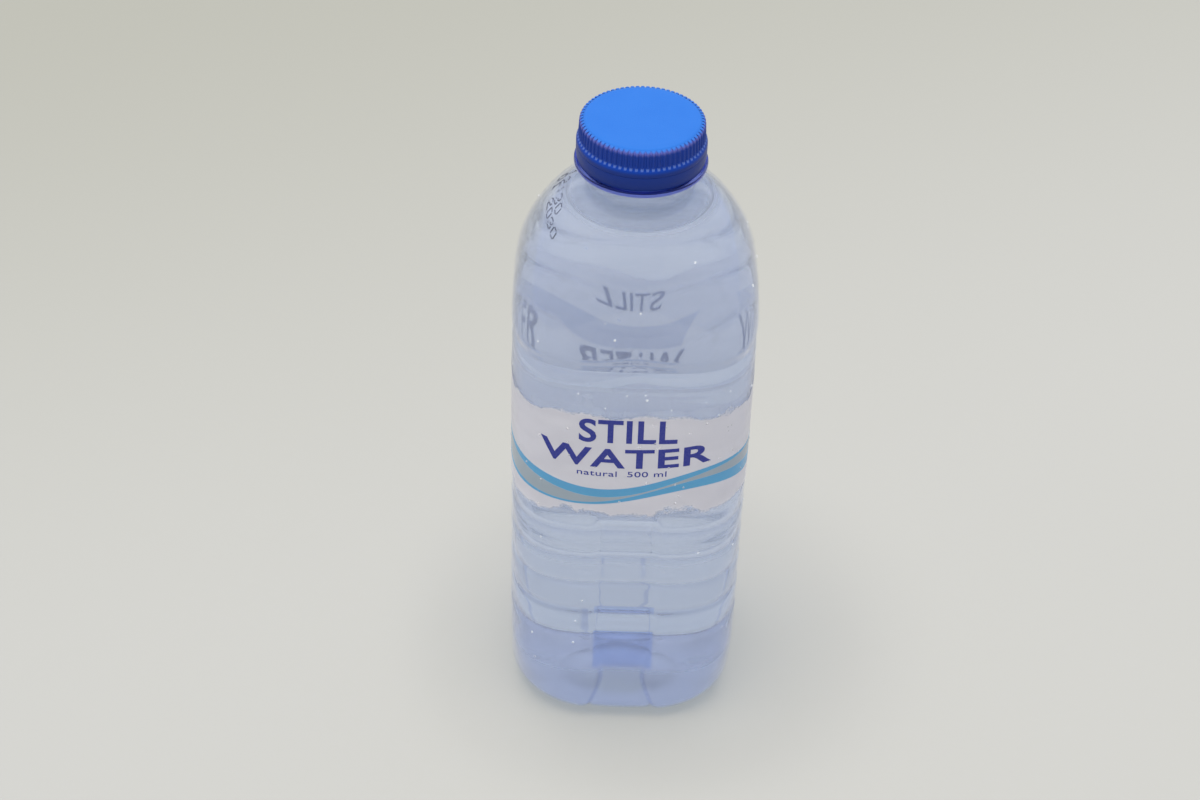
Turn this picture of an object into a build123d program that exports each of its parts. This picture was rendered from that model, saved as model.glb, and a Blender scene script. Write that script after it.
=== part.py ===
from build123d import *
from math import cos, radians, sin
import os

# A half-litre still-water bottle with a knurled screw cap, in millimetres.
# Frame: origin at the middle of the feet's resting plane, +Z up through the neck, -Y the label's front.

# Overall sizes
body_width = 62.2  # across the flat faces
body_height = 122.6  # resting plane to the groove under the shoulder
shoulder_height = 36.6  # groove to the root of the neck
corner_radius = 17.8  # upright corners of the body
shoulder_bulge = 0.3  # how far the shoulder stands out past the label panel
shoulder_swell = 2.3  # powers of the shoulder's outline: how long it stays full
shoulder_close = 0.66  # and how fast it closes to the neck
shoulder_round = 0.985  # corner radius as a share of half width, near the neck
shoulder_round_share = 0.85  # share of the shoulder's height where it's that round
wall = 0.32  # blown wall
heel_radius = 7.0  # rounded lower edge
foot_corner = 25.0  # upright corners at the resting plane, where the plan is rounder
foot_rise = 22.0  # height where the corners reach corner_radius

# Stiffening rings, upright face strips and base
rib_count = 5
rib_pitch = 9.3
first_rib = 32.2  # height of the lowest ring
rib_cutter = 1.8  # radius of the ring's round section
rib_depth = 0.5
waist_cutter = 2.6  # groove between label panel and shoulder
waist_depth = 1.1
strip_width = 16.4  # shallow recess down the middle of each face
strip_depth = 0.7
strip_bottom = -2.0  # under the resting plane, so the strips run out at the heel
strip_gap = 3.4  # the strips stop this far under the label
strip_corner = 1.6
strip_cut = 1.0  # how far the cutters of the strips stand out of the body
foot_groove_cutter = 1.7
foot_groove_depth = 1.0
foot_half_width = 8.4  # half a narrow foot, at the heel
foot_waist = 6.6  # half the narrow foot where its grooves start
foot_groove_top = 24.0
foot_groove_end = 3.4  # half the gap between a foot's grooves under the base
foot_groove_reach = 11.25  # their ends' distance from the middle of the base
dome_radius = 15.0  # push-up in the middle of the base
dome_rise = 4.5

# Neck finish, a short three-start thread
neck_radius = 13.85  # plain neck under the support ring
bore_radius = 12.2
neck_height = 5.5  # root of the neck to the support ring's underside
neck_lap = 3.5  # how far the neck's wall reaches down into the shoulder
neck_step = 0.15  # shoulder's top edge inside the neck's wall
ring_radius = 16.5
ring_thickness = 1.1
ring_edge = 0.35
ring_fillet = 0.6  # slope from the neck out to the support ring
finish_height = 9.4  # top of the support ring to the lip
finish_radius = 13.2  # thread root
thread_starts = 3
thread_lead = 7.5
thread_turn = 150.0  # degrees that each thread runs
thread_crest = 0.8  # height of the thread over its root
thread_root_width = 1.25
thread_crest_width = 0.6
thread_rise = 6.5  # support ring's top to a thread's middle
thread_sunk = 0.4  # how far a thread's root reaches into its wall
lip_edge = 0.3
bead_radius = 14.2  # stop for the tamper band
bead_height = 1.3
bead_rise = 2.4  # support ring's top to the bead's underside
bead_land = 0.4  # the bead's upright face, under its lead-in slope

# Cap, sealing disc and tamper band
thread_clearance = 0.15  # radial, crest to root
cap_wall = 0.95
crown_thickness = 1.1
crown_edge = 0.9
liner_thickness = 0.7
liner_clearance = 0.25
knurl_count = 72
knurl_depth = 0.3
flare = 0.95  # how far the smooth skirt stands out from the knurled wall
skirt_relief = 0.6  # height of the skirt's widened mouth, over the bead
skirt_height = 1.3  # smooth skirt over the slit
slit = 0.22
bridge_count = 12
bridge_width = 0.7
bridge_gap = 0.04
bridge_inset = 0.1  # bridge inside the band's two faces
band_clearance = 0.3  # band over the support ring, and over the bead
band_wall = 0.75
band_draft = 0.25  # the band's foot is this much narrower than its top
hook_height = 1.1
hook_reach = 0.2  # how far the hook reaches in under the bead
hook_lead = 0.5  # the hook's lower edge is this much wider than its tip
hook_slope = 0.66  # height of that lead-in
hook_back = 0.4  # rise of the hook's upper slope

# Label and water
label_top_gap = 4.6  # film's top edge under the waist groove
label_height = 42.5
label_film = 0.1
label_clearance = 0.04
fill_gap = 3.2  # water's surface under the root of the neck
water_clearance = 0.02

# Levels that follow
half_width = body_width / 2
neck_base = body_height + shoulder_height
ring_bottom = neck_base + neck_height
ring_top = ring_bottom + ring_thickness
lip = ring_top + finish_height
label_top = body_height - label_top_gap
label_bottom = label_top - label_height
strip_top = label_bottom - strip_gap
water_level = neck_base - fill_gap
bead_bottom = ring_top + bead_rise
thread_start = ring_top + thread_rise
crest_radius = finish_radius + thread_crest
cap_bore = crest_radius + thread_clearance
cap_radius = cap_bore + cap_wall
cap_top = lip + liner_thickness + crown_thickness
band_bottom = ring_top + band_clearance
band_top = bead_bottom + bead_height + band_clearance
skirt_bottom = band_top + slit
knurl_bottom = skirt_bottom + skirt_height
skirt_radius = cap_radius + flare
shoulder_shares = (0, 0.18, 0.36, 0.53, 0.68, 0.8, 0.89, 0.95, 1.0)  # heights of the shoulder's sections


def shoulder_half_width(share, base, top):
    """Half width at a share of the shoulder's height, full low down and closing fast to the neck."""
    return top + (base - top) * (1 - share**shoulder_swell) ** shoulder_close


def shoulder_corner(share):
    """Corner radius as a share of half width: square-ish at the waist, round at the neck."""
    low = corner_radius / half_width
    ease = min(share / shoulder_round_share, 1.0)
    return low + (shoulder_round - low) * ease * ease * (3 - 2 * ease)


def ring_groove(cutter, depth, height, inset):
    """A round-bottomed groove around the body; inset thickens the cutter to keep the wall."""
    out = cutter - depth
    with BuildSketch(Plane.XY.offset(height)) as outline:
        RectangleRounded(2 * (half_width + out), 2 * (half_width + out), corner_radius + out)
    path = outline.sketch.wire()
    with BuildPart() as groove:
        with BuildSketch(Plane(origin=path @ 0, z_dir=path % 0)):
            Circle(cutter + inset)
        sweep(path=path)
    return groove.part


def foot_groove(side, inset):
    """One groove beside a narrow foot: down the front face, round the heel and in to the push-up."""
    out = foot_groove_cutter - foot_groove_depth
    top = Vector(side * foot_waist, -(half_width + foot_groove_cutter), foot_groove_top)
    heel = Vector(side * foot_half_width, -(half_width + out), -out)
    middle = Vector(side * foot_groove_end, -foot_groove_reach, 0)
    with BuildPart() as groove:
        with BuildLine():
            path = FilletPolyline(top, heel, middle, radius=heel_radius + out)
        with BuildSketch(Plane(origin=path @ 0, z_dir=path % 0)):
            Circle(foot_groove_cutter + inset)
        sweep(path=path)
    return groove.part


def strip_groove(height, inset):
    """The stiffening ring's groove where it crosses the recessed strip of the front face."""
    axis = half_width - strip_depth + rib_cutter - rib_depth
    with BuildPart() as groove:
        with BuildSketch(Plane.YZ.offset(-strip_width / 2 - inset)):
            with Locations((-axis, height)):
                Circle(rib_cutter + inset)
        extrude(amount=strip_width + 2 * inset)
    return groove.part


def bottle_form(inset, top_radius):
    """The blown body and shoulder, or with an inset the cavity inside them."""
    half = half_width - inset
    corner = corner_radius - inset
    cutters = [ring_groove(waist_cutter, waist_depth, body_height, inset)]
    face_cutters = [foot_groove(-1, inset), foot_groove(1, inset)]
    for index in range(rib_count):
        height = first_rib + index * rib_pitch
        cutters.append(ring_groove(rib_cutter, rib_depth, height, inset))
        face_cutters.append(strip_groove(height, inset))
    with BuildPart() as form:
        with BuildSketch(Plane.XY.offset(inset)):
            RectangleRounded(2 * half, 2 * half, foot_corner - inset)
        with BuildSketch(Plane.XY.offset(foot_rise)):
            RectangleRounded(2 * half, 2 * half, corner)
        loft(ruled=True)
        heel = form.faces().sort_by(Axis.Z)[0].edges()
        fillet(heel, heel_radius - inset)
        with BuildSketch(Plane.XY.offset(foot_rise)):
            RectangleRounded(2 * half, 2 * half, corner)
        extrude(amount=body_height - foot_rise)
        for share in shoulder_shares:
            reach = shoulder_half_width(share, half + shoulder_bulge, top_radius)
            with BuildSketch(Plane.XY.offset(body_height + share * shoulder_height)):
                RectangleRounded(2 * reach, 2 * reach, reach * shoulder_corner(share))
        loft()
        for angle in (0, 90, 180, 270):
            turn = radians(angle)
            face = Plane((0, 0, 0), x_dir=(cos(turn), sin(turn), 0), z_dir=(sin(turn), -cos(turn), 0))
            with BuildSketch(face.offset(half_width - strip_depth - inset)):
                with Locations((0, (strip_top + strip_bottom) / 2)):
                    height = strip_top - strip_bottom + 2 * inset
                    RectangleRounded(strip_width + 2 * inset, height, strip_corner + inset)
            extrude(amount=strip_depth + 2 * inset + strip_cut, mode=Mode.SUBTRACT)
            for cutter in face_cutters:
                add(cutter.rotate(Axis.Z, angle), mode=Mode.SUBTRACT)
        for cutter in cutters:
            add(cutter, mode=Mode.SUBTRACT)
        sphere_radius = (dome_radius**2 + dome_rise**2) / (2 * dome_rise)
        with Locations((0, 0, dome_rise - sphere_radius)):
            Sphere(sphere_radius + inset, mode=Mode.SUBTRACT)
    return form.part


def thread(root_radius, height, crest, start_angle):
    """One thread start; a positive crest stands out of a neck, a negative one into a cap."""
    reach = 1 if crest > 0 else -1
    rise = thread_lead * thread_turn / 360
    base = height - rise / 2
    with BuildPart() as ridge:
        with BuildLine():
            path = Helix(thread_lead, rise, root_radius, center=(0, 0, base))
        with BuildSketch(Plane(origin=path @ 0, x_dir=(reach, 0, 0), z_dir=path % 0)):
            with BuildLine():
                wide = thread_root_width / 2
                slim = thread_crest_width / 2
                Polyline(
                    (-thread_sunk, -wide),
                    (0, -wide),
                    (abs(crest), -slim),
                    (abs(crest), slim),
                    (0, wide),
                    (-thread_sunk, wide),
                    close=True,
                )
            make_face()
        sweep(path=path, is_frenet=True)
    return ridge.part.rotate(Axis.Z, start_angle)


shell_form = bottle_form(0, neck_radius - neck_step)
cavity_form = bottle_form(wall, bore_radius - neck_step)

with BuildPart() as neck:
    with BuildSketch(Plane.XZ):
        with BuildLine():
            Polyline(
                (bore_radius, neck_base - neck_lap),
                (neck_radius - ring_fillet, neck_base - neck_lap),
                (neck_radius, neck_base - neck_lap / 2),
                (neck_radius, ring_bottom - ring_fillet),
                (ring_radius - ring_edge, ring_bottom),
                (ring_radius, ring_bottom + ring_edge),
                (ring_radius, ring_top - ring_edge),
                (ring_radius - ring_edge, ring_top),
                (finish_radius, ring_top),
                (finish_radius, bead_bottom),
                (bead_radius, bead_bottom),
                (bead_radius, bead_bottom + bead_land),
                (finish_radius, bead_bottom + bead_height),
                (finish_radius, lip - lip_edge),
                (finish_radius - lip_edge, lip),
                (bore_radius, lip),
                close=True,
            )
        make_face()
    revolve(axis=Axis.Z)
    for start in range(thread_starts):
        add(thread(finish_radius, thread_start, thread_crest, start * 360 / thread_starts))

with BuildPart() as bottle_body:
    add(shell_form)
    add(neck.part)
    add(cavity_form, mode=Mode.SUBTRACT)
    with BuildSketch(Plane.XY.offset(neck_base - neck_lap - 1)):
        Circle(bore_radius)
    extrude(amount=lip - neck_base + neck_lap + 2, mode=Mode.SUBTRACT)

with BuildPart() as water_fill:
    add(bottle_form(wall + water_clearance, bore_radius - neck_step - water_clearance))
    with BuildSketch(Plane.XY.offset(water_level)):
        Circle(body_width)
    extrude(amount=shoulder_height, mode=Mode.SUBTRACT)

with BuildPart() as label:
    inner = half_width + label_clearance
    outer = inner + label_film
    inner_corner = corner_radius + label_clearance
    with BuildSketch(Plane.XY.offset(label_bottom)):
        RectangleRounded(2 * outer, 2 * outer, inner_corner + label_film)
        RectangleRounded(2 * inner, 2 * inner, inner_corner, mode=Mode.SUBTRACT)
    extrude(amount=label_height)

with BuildPart() as cap_liner:
    with BuildSketch(Plane.XY.offset(lip)):
        Circle(cap_bore - liner_clearance)
    extrude(amount=liner_thickness)

with BuildPart() as cap_shell:
    with BuildSketch(Plane.XZ):
        with BuildLine():
            Polyline(
                (0, cap_top),
                (cap_radius - crown_edge, cap_top),
                (cap_radius, cap_top - crown_edge),
                (cap_radius, knurl_bottom + flare),
                (skirt_radius, knurl_bottom),
                (skirt_radius, skirt_bottom),
                (bead_radius + thread_clearance, skirt_bottom),
                (cap_bore, skirt_bottom + skirt_relief),
                (cap_bore, lip + liner_thickness),
                (0, lip + liner_thickness),
                close=True,
            )
        make_face()
    revolve(axis=Axis.Z)
    with BuildSketch(Plane.XY.offset(knurl_bottom)):
        with PolarLocations(cap_radius, knurl_count):
            RegularPolygon(knurl_depth, 4)
    extrude(amount=cap_top - crown_edge - knurl_bottom)
    reach = thread_clearance - (cap_bore - finish_radius)
    for start in range(thread_starts):
        add(thread(cap_bore, thread_start, reach, (start + 0.5) * 360 / thread_starts))

with BuildPart() as tamper_band:
    hook = bead_radius - hook_reach
    inside = skirt_radius - band_wall
    with BuildSketch(Plane.XZ):
        with BuildLine():
            Polyline(
                (skirt_radius, band_top),
                (skirt_radius - band_draft, band_bottom),
                (hook + hook_lead, band_bottom),
                (hook, band_bottom + hook_slope),
                (hook, band_bottom + hook_height),
                (inside, band_bottom + hook_height + hook_back),
                (inside, band_top),
                close=True,
            )
        make_face()
    revolve(axis=Axis.Z)
    with BuildSketch(Plane.XY.offset(band_top)):
        with PolarLocations(skirt_radius - band_wall / 2, bridge_count):
            Rectangle(band_wall - 2 * bridge_inset, bridge_width)
    extrude(amount=slit - bridge_gap)

os.makedirs("parts", exist_ok=True)
pieces = {
    "bottle_body": bottle_body,
    "water_fill": water_fill,
    "label": label,
    "cap_liner": cap_liner,
    "cap_shell": cap_shell,
    "tamper_band": tamper_band,
}
for name, piece in pieces.items():
    piece.part.label = name
    export_step(piece.part, f"parts/{name}.step")
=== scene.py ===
from math import atan2, cos, degrees, log, pi, radians, sin, sqrt

import bmesh
import bpy
import numpy as np
from mathutils import Matrix, Vector


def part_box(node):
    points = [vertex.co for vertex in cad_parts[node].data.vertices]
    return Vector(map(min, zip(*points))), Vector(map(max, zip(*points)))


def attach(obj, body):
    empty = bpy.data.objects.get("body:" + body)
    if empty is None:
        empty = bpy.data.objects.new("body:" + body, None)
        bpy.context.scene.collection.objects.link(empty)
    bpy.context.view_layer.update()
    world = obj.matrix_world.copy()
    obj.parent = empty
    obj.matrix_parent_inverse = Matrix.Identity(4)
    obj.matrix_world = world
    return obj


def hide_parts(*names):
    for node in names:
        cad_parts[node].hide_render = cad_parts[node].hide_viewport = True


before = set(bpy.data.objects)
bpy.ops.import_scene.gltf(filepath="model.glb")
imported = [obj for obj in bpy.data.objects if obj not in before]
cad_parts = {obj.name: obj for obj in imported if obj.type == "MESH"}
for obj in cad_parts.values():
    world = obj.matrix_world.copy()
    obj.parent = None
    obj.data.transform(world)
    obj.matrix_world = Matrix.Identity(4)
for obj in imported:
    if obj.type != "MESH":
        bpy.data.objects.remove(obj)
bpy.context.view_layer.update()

mm = 0.001
scene = bpy.context.scene
print("frame loaded:", sorted(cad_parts))


def linearShare(value):
    if value < 11:
        return value / 255 / 12.92
    return ((value / 255 + 0.055) / 1.055) ** 2.4


def colour(red, green, blue):
    # 0-255 screen values to the linear numbers that a shader takes
    return (linearShare(red), linearShare(green), linearShare(blue), 1.0)


def ease(value, low, high):
    share = np.clip((np.asarray(value, float) - low) / (high - low), 0, 1)
    return share * share * (3 - 2 * share)


def denseSteps(low, high, count, peaks, width, boost):
    # count + 1 values from low to high, closer together near each peak
    fine = np.linspace(low, high, 4001)
    crowd = 1 + sum(boost * np.exp(-((fine - peak) / width) ** 2) for peak in peaks)
    travel = np.concatenate(([0], np.cumsum((crowd[1:] + crowd[:-1]) / 2)))
    return np.interp(np.linspace(0, travel[-1], count + 1), travel, fine)


def roundedLine(points, steps=4):
    # (radius, height, rounding) corners to a line of (radius, height) with arcs at the corners
    line = []
    for index, (across, up, rounding) in enumerate(points):
        here = Vector((across, up))
        if rounding == 0 or index in (0, len(points) - 1):
            line.append(here)
            continue
        back = Vector(points[index - 1][:2]) - here
        ahead = Vector(points[index + 1][:2]) - here
        reach = min(rounding, back.length * 0.48, ahead.length * 0.48)
        start = here + back.normalized() * reach
        end = here + ahead.normalized() * reach
        for step in range(steps + 1):
            t = step / steps
            line.append(start * (1 - t) ** 2 + here * 2 * t * (1 - t) + end * t * t)
    return [(p.x, p.y) for p in line]


def bareObject(name, points, faces):
    mesh = bpy.data.meshes.new(name)
    mesh.from_pydata([tuple(p) for p in points], [], faces)
    made = bpy.data.objects.new(name, mesh)
    scene.collection.objects.link(made)
    return made


def newPiece(name, points, faces, material, body, smoothAngle=40):
    piece = bareObject(name, points, faces)
    mesh = piece.data
    mesh.materials.append(material)
    mesh.shade_smooth()
    mesh.set_sharp_from_angle(angle=radians(smoothAngle))
    mesh.validate()
    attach(piece, body)
    return piece


def skinOf(rings, loop=False):
    # rings of points to quads; a ring of one point is a pole, loop joins the last ring to the first
    points = []
    starts = []
    for ring in rings:
        starts.append((len(points), len(ring)))
        points.extend(ring)
    faces = []
    pairs = list(zip(starts, starts[1:]))
    if loop:
        pairs.append((starts[-1], starts[0]))
    for (low, lowCount), (high, highCount) in pairs:
        count = max(lowCount, highCount)
        for column in range(count):
            following = (column + 1) % count
            if lowCount == 1:
                faces.append((low, high + following, high + column))
            elif highCount == 1:
                faces.append((low + column, low + following, high))
            else:
                faces.append((low + column, low + following, high + following, high + column))
    return points, faces


def spun(line, angles, relief=None):
    # rings round the upright axis for a line of (radius, height) in mm
    rings = []
    for across, up in line:
        if across < 1e-6:
            rings.append([(0, 0, up * mm)])
            continue
        radius = np.full(len(angles), across)
        if relief is not None:
            radius = radius + relief(across, up, angles)
        rings.append([(r * cos(a) * mm, r * sin(a) * mm, up * mm) for r, a in zip(radius, angles)])
    return rings


class Value:
    # a socket that adds Math nodes when Python operators are used on it
    def __init__(self, graph, socket):
        self.graph = graph
        self.socket = socket

    def __add__(self, other):
        return self.graph.pick("ADD", self, other)

    def __radd__(self, other):
        return self.graph.pick("ADD", other, self)

    def __sub__(self, other):
        return self.graph.pick("SUBTRACT", self, other)

    def __rsub__(self, other):
        return self.graph.pick("SUBTRACT", other, self)

    def __mul__(self, other):
        return self.graph.pick("MULTIPLY", self, other)

    def __rmul__(self, other):
        return self.graph.pick("MULTIPLY", other, self)

    def __truediv__(self, other):
        return self.graph.pick("DIVIDE", self, other)

    def __rtruediv__(self, other):
        return self.graph.pick("DIVIDE", other, self)

    def __pow__(self, other):
        return self.graph.pick("POWER", self, other)


class Graph:
    # the nodes of one material, or of the sky
    def __init__(self, name, sky=False):
        self.owner = bpy.data.worlds.new(name) if sky else bpy.data.materials.new(name)
        self.owner.use_nodes = True
        self.tree = self.owner.node_tree
        self.tree.nodes.clear()

    def node(self, kind, settings=None, sockets=None, output=0):
        made = self.tree.nodes.new("ShaderNode" + kind)
        for key, value in (settings or {}).items():
            if key == "stops":
                ramp = made.color_ramp
                while len(ramp.elements) < len(value):
                    ramp.elements.new(0.5)
                for element, (place, shade) in zip(ramp.elements, value):
                    element.position = place
                    element.color = shade
            else:
                setattr(made, key, value)
        for key, value in (sockets or {}).items():
            if isinstance(value, Value):
                self.tree.links.new(value.socket, made.inputs[key])
            else:
                made.inputs[key].default_value = value
        return Value(self, made.outputs[output]) if made.outputs else None

    def place(self, source="Object"):
        return self.node("TexCoord", output=source)

    def part(self, vector, axis):
        return self.node("SeparateXYZ", None, {0: vector}, axis)

    def noise(self, vector, scale, detail=2.0, roughness=0.5):
        return self.node("TexNoise", None, {"Vector": vector, "Scale": scale, "Detail": detail,
                                            "Roughness": roughness}, "Fac")

    def soft(self, value, low, high):
        # 0 below low, 1 above high, eased between
        return self.node("MapRange", {"interpolation_type": "SMOOTHSTEP"},
                         {"Value": value, "From Min": low, "From Max": high})

    def window(self, value, low, full, falling, gone):
        # 0 outside low-gone, 1 from full to falling
        return self.soft(value, low, full) * (1 - self.soft(value, falling, gone))

    def range(self, value, low, high):
        # a 0-1 value to low-high
        return value * (high - low) + low

    def pick(self, operation, first, second=0.0):
        # one Math node
        return self.node("Math", {"operation": operation}, {0: first, 1: second})

    def size(self, value):
        return self.pick("ABSOLUTE", value)

    def blend(self, factor, first, second):
        return self.node("Mix", {"data_type": "RGBA"}, {0: factor, 6: first, 7: second}, 2)

    def bump(self, height, strength, distance):
        return self.node("Bump", None, {"Height": height, "Strength": strength, "Distance": distance})

    def principled(self, sockets):
        return self.node("BsdfPrincipled", None, sockets)

    def paint(self, sockets):
        # a whole material of one surface shader
        return self.finish(self.principled(sockets))

    def letLightPass(self, shader, tint):
        # bright shadows: light goes straight through instead of being stopped by the bending surface
        shadow = self.node("LightPath", output="Is Shadow Ray")
        return self.mixed(shadow, shader, self.clear(tint))

    def clear(self, tint):
        return self.node("BsdfTransparent", None, {"Color": tint})

    def mixed(self, factor, first, second):
        return self.node("MixShader", None, {0: factor, 1: first, 2: second})

    def finish(self, shader, output="OutputMaterial"):
        self.node(output, None, {"Surface": shader})
        return self.owner


def treeNode(tree, kind, **links):
    made = tree.nodes.new(kind)
    for key, value in links.items():
        tree.links.new(value, made.inputs[key])
    return made


def treeMath(tree, operation, first, second):
    made = tree.nodes.new("ShaderNodeMath")
    made.operation = operation
    for index, value in enumerate((first, second)):
        if isinstance(value, bpy.types.NodeSocket):
            tree.links.new(value, made.inputs[index])
        else:
            made.inputs[index].default_value = value
    return made.outputs[0]


def newTree(name, kinds):
    # a tree with these inputs, the identifier of each, and the sockets that bring them in
    tree = bpy.data.node_groups.new(name, "GeometryNodeTree")
    keys = {}
    for title, kind in kinds.items():
        socket = tree.interface.new_socket(title, in_out="INPUT", socket_type="NodeSocket" + kind)
        keys[title] = socket.identifier
    tree.interface.new_socket("Geometry", in_out="OUTPUT", socket_type="NodeSocketGeometry")
    return tree, keys, tree.nodes.new("NodeGroupInput").outputs


def finishTree(tree, copies, material):
    real = treeNode(tree, "GeometryNodeRealizeInstances", Geometry=copies.outputs[0])
    painted = treeNode(tree, "GeometryNodeSetMaterial", Geometry=real.outputs[0], Material=material)
    tree.links.new(painted.outputs[0], tree.nodes.new("NodeGroupOutput").inputs[0])


def evaluatedMesh(holder):
    depsgraph = bpy.context.evaluated_depsgraph_get()
    return bpy.data.meshes.new_from_object(holder.evaluated_get(depsgraph))


def runTree(name, tree, keys, values, start=None):
    # a Geometry Nodes tree with its inputs set to a plain mesh object
    holder = bpy.data.objects.new(name, start or bpy.data.meshes.new(name + "_start"))
    scene.collection.objects.link(holder)
    modifier = holder.modifiers.new("nodes", "NODES")
    modifier.node_group = tree
    for title, value in values.items():
        modifier[keys[title]] = value
    made = evaluatedMesh(holder)
    holder.modifiers.remove(modifier)
    bpy.data.objects.remove(holder)
    piece = bpy.data.objects.new(name, made)
    scene.collection.objects.link(piece)
    return piece


view = {
    "place": (-12.13, -503.97, 496.76),     # mm
    "pitch": 38.984,       # degrees down
    "turn": -0.461,
    "roll": 1.921,
    "lens": 73.593,
    "sensor": 36,
}


def makeCamera():
    camera = bpy.data.objects.new("camera", bpy.data.cameras.new("camera"))
    camera.data.lens = view["lens"]
    camera.data.sensor_width = view["sensor"]
    camera.data.clip_start = 0.01
    turn = Matrix.Rotation(radians(view["turn"]), 4, "Z")
    tilt = Matrix.Rotation(radians(90 - view["pitch"]), 4, "X")
    roll = Matrix.Rotation(radians(view["roll"]), 4, "Z")
    place = Matrix.Translation(Vector(view["place"]) * mm)
    camera.matrix_world = place @ turn @ tilt @ roll
    scene.collection.objects.link(camera)
    scene.camera = camera


studio = {
    "floorTone": colour(160, 160, 160),
    "floorTone2": colour(163, 163, 163),
    "farTone": colour(146, 146, 141),
    "farSpan": (0.0, 0.5),                  # metres behind the bottle where the floor turns to its far tone, a painted shade where the light falls off
    "farSlant": 0.45,                       # and how much sooner it does so on the left
    "floorRadius": 4.0,
    "floorSides": 64,
    "floorDrop": 0.00005,
    "frontTone": (0.30, 0.32, 0.38, 1.0),   # the dim side, behind the camera
    "backTone": (0.48, 0.52, 0.655, 1.0),
    "sunTone": (1.0, 0.973, 0.85),
    "sunStrength": 4.75,
    "sunSpread": 42,                        # degrees across, for soft shadows
    "sunTilt": (3, -4),                     # degrees off straight down
}


def makeSky():
    graph = Graph("studio_sky", sky=True)
    toward = graph.place("Generated")
    back = graph.soft(graph.part(toward, 1), -0.7, 0.7)
    tone = graph.blend(back, studio["frontTone"], studio["backTone"])
    sky = graph.node("Background", None, {"Color": tone, "Strength": 1.0})
    scene.world = graph.finish(sky, "OutputWorld")


def makeStudio():
    graph = Graph("floor_paint")
    place = graph.place()
    shade = graph.blend(graph.noise(place, 3.0, 3.0), studio["floorTone"], studio["floorTone2"])
    # painted shade: the floor darkens further back, sooner on the left
    behind = graph.part(place, 1) - graph.part(place, 0) * studio["farSlant"]
    shade = graph.blend(graph.soft(behind, *studio["farSpan"]), shade, studio["farTone"])
    grain = graph.bump(graph.noise(place, 400.0), 0.05, 0.0005)
    floor = graph.paint({"Base Color": shade, "Roughness": 0.75, "Normal": grain,
                         "Specular IOR Level": 0.2})
    reach = studio["floorRadius"]
    rim = [(reach * cos(a), reach * sin(a), -studio["floorDrop"])
           for a in np.linspace(0, 2 * pi, studio["floorSides"], endpoint=False)]
    piece = bareObject("studio_floor", rim, [tuple(range(studio["floorSides"]))])
    piece.data.materials.append(floor)
    makeSky()
    lamp = bpy.data.lights.new("overhead_light", "SUN")
    lamp.energy = studio["sunStrength"]
    lamp.color = studio["sunTone"]
    lamp.angle = radians(studio["sunSpread"])
    lampObject = bpy.data.objects.new("overhead_light", lamp)
    forward, sideways = studio["sunTilt"]
    lampObject.rotation_euler = (radians(forward), radians(sideways), 0)
    lampObject.visible_transmission = False
    lampObject.visible_glossy = False
    scene.collection.objects.link(lampObject)
    scene.view_settings.view_transform = "Standard"
    scene.cycles.max_bounces = 24
    scene.cycles.transmission_bounces = 20
    scene.cycles.transparent_max_bounces = 40


makeCamera()
makeStudio()
print("camera, floor and light ready")


labelLow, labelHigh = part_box("label")
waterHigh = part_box("water_fill")[1]
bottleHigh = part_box("bottle_body")[1]
capLow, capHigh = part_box("cap_shell")
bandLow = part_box("tamper_band")[0]
linerLow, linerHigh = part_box("cap_liner")

film = {"thick": 0.1, "gap": 0.04, "dip": 0.03}  # mm: the label's film, its clearance, its dip at a rib

form = {                   # mm
    "wall": 0.32,
    "heel": 7.0,
    "waist": labelHigh.z / mm + 4.6,
    "corner": 17.8,
    "footCorner": 25.0,
    "footRise": 22.0,
    "bulge": 0.3,
    "swell": 2.3,
    "close": 0.66,
    "neckCorner": 0.985,   # how round the shoulder is at the neck
    "roundShare": 0.85,    # and the share of its height where it is that round
    "neckStep": 0.15,      # how much narrower the skin is there than the neck
    "neckBase": waterHigh.z / mm + 3.2,
    "neckRadius": 13.85,
    "boreRadius": 12.2,
    "domeRadius": 15.0,
    "domeRise": 3.2,
    "ribFirst": 32.2,
    "ribPitch": 9.3,
    "ribCount": 10,
    "boldRibs": 5,         # those above, behind the label, are faint
    "ribDepth": 0.55,
    "ribWidth": 2.3,
    "faintDepth": 0.2,
    "waistDepth": 0.9,
    "waistWidth": 3.6,
    "waistLift": 1.0,      # the waist is higher at the middle of a face
    "liftWidth": 7,
    "stripHalf": 8.2,
    "stripDepth": 0.7,
    "stripTop": labelLow.z / mm - 3.4,
    "footLine": [(0, 9.4), (3, 9.1), (10, 7.2), (17, 5.7), (22, 6.2), (25, 7.3), (27, 8.2)],
    "baseLine": [(11, 3.4), (24.1, 9.4)],   # half the foot's width by distance from the axis
    "footDepth": 0.45,
    "footWidth": 2.0,
    "waterGap": 0.42,      # water's surface inside the outer skin
}
steepest = 1.5  # radians below the horizon; only the flat base is steeper
halfWidth = labelHigh.x / mm - film["thick"] - film["gap"]
ribHeights = [form["ribFirst"] + i * form["ribPitch"] for i in range(form["ribCount"])]
halfFace = denseSteps(0, 45, 21, [14], 4.5, 2.0)[:-1]
faceAngles = np.concatenate([halfFace, [45.0], 90 - halfFace[1:][::-1]])
allAngles = np.concatenate([faceAngles + 90 * face for face in range(4)])
columns = np.radians(allAngles + 90)  # starts at the back seam


def squarePower(corner):
    # the power that gives a squared circle the same diagonal as a square with that corner share
    return log(2) / log(sqrt(2) / (sqrt(2) * (1 - corner) + corner))


def sectionRadius(half, power, angles=columns):
    return half / (abs(np.cos(angles)) ** power + abs(np.sin(angles)) ** power) ** (1 / power)


def sectionNormal(power, angles=columns):
    c = np.cos(angles)
    s = np.sin(angles)
    x = np.sign(c) * abs(c) ** (power - 1)
    y = np.sign(s) * abs(s) ** (power - 1)
    size = np.hypot(x, y)
    return x / size, y / size


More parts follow.
